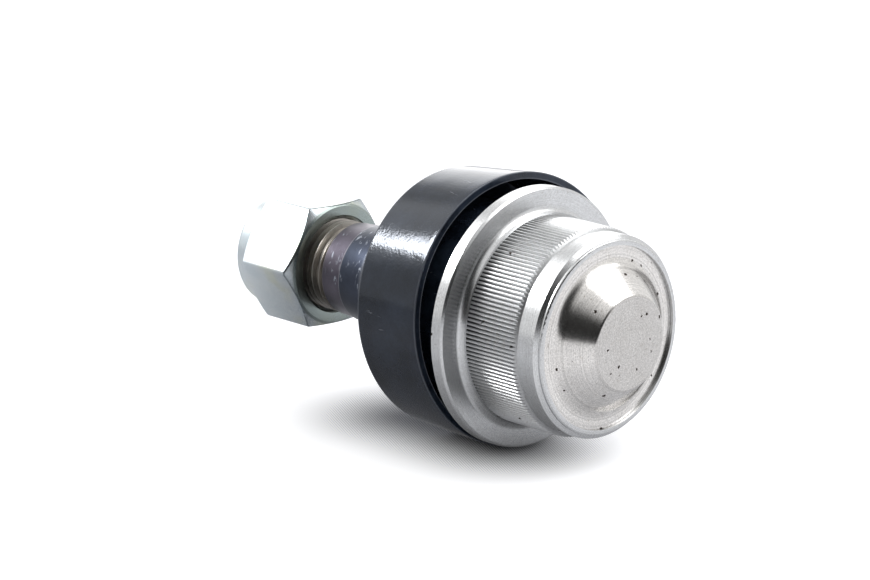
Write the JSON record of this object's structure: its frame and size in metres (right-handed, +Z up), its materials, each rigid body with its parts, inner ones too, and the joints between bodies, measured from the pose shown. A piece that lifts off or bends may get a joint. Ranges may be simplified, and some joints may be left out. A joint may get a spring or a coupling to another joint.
{
  "type": "suspension ball joint",
  "caption": "Press-in suspension ball joint: knurled steel socket with flange and domed cover, ball stud in plastic seats, rubber boot, hex lock nut on the threaded stud.",
  "frame": {"origin": "centre of the ball, on the axis of the knurled press band", "axes": "+X along the socket's axis out through the cover plate, the stud points along -X at rest; +Z up with the joint lying on its side"},
  "size_m": [0.0976, 0.0533, 0.0524],
  "materials": {
    "turned_steel": "turned bright steel",
    "pressed_steel": "pressed and polished steel",
    "stud_steel": "hardened, ground steel",
    "spring_steel": "oiled spring steel",
    "wire_steel": "drawn spring wire",
    "zinc_plate": "zinc-plated, clear passivated",
    "boot_rubber": "moulded rubber, satin",
    "seal_rubber": "moulded rubber",
    "seat_plastic": "moulded acetal",
    "sleeve_plastic": "moulded acetal",
    "nylon": "nylon"
  },
  "bodies": {
    "socket": {"socket_housing": "turned_steel", "cover_plate": "pressed_steel", "cover_seal": "seal_rubber", "disc_spring": "spring_steel", "cover_bearing": "seat_plastic", "neck_bearing": "seat_plastic"},
    "boot": {"dust_boot": "boot_rubber", "boot_housing_ring": "wire_steel"},
    "boot_end": {"boot_sleeve": "sleeve_plastic", "boot_stud_ring": "wire_steel"},
    "stud": {"ball_stud": "stud_steel", "hex_nut": "zinc_plate", "nut_insert": "nylon"}
  },
  "joints": [
    {"name": "boot_turn", "type": "hinge", "parent": "socket", "child": "boot", "pos_m": [0, 0, 0], "axis": [1, 0, 0], "continuous": true},
    {"name": "stud_tilt", "type": "hinge", "parent": "boot", "child": "boot_end", "pos_m": [0, 0, 0], "axis": [0, 0, 1], "range_deg": [-24, 24], "deforming": ["dust_boot"]},
    {"name": "stud_spin", "type": "hinge", "parent": "boot_end", "child": "stud", "pos_m": [0, 0, 0], "axis": [1, 0, 0], "continuous": true}
  ]
}
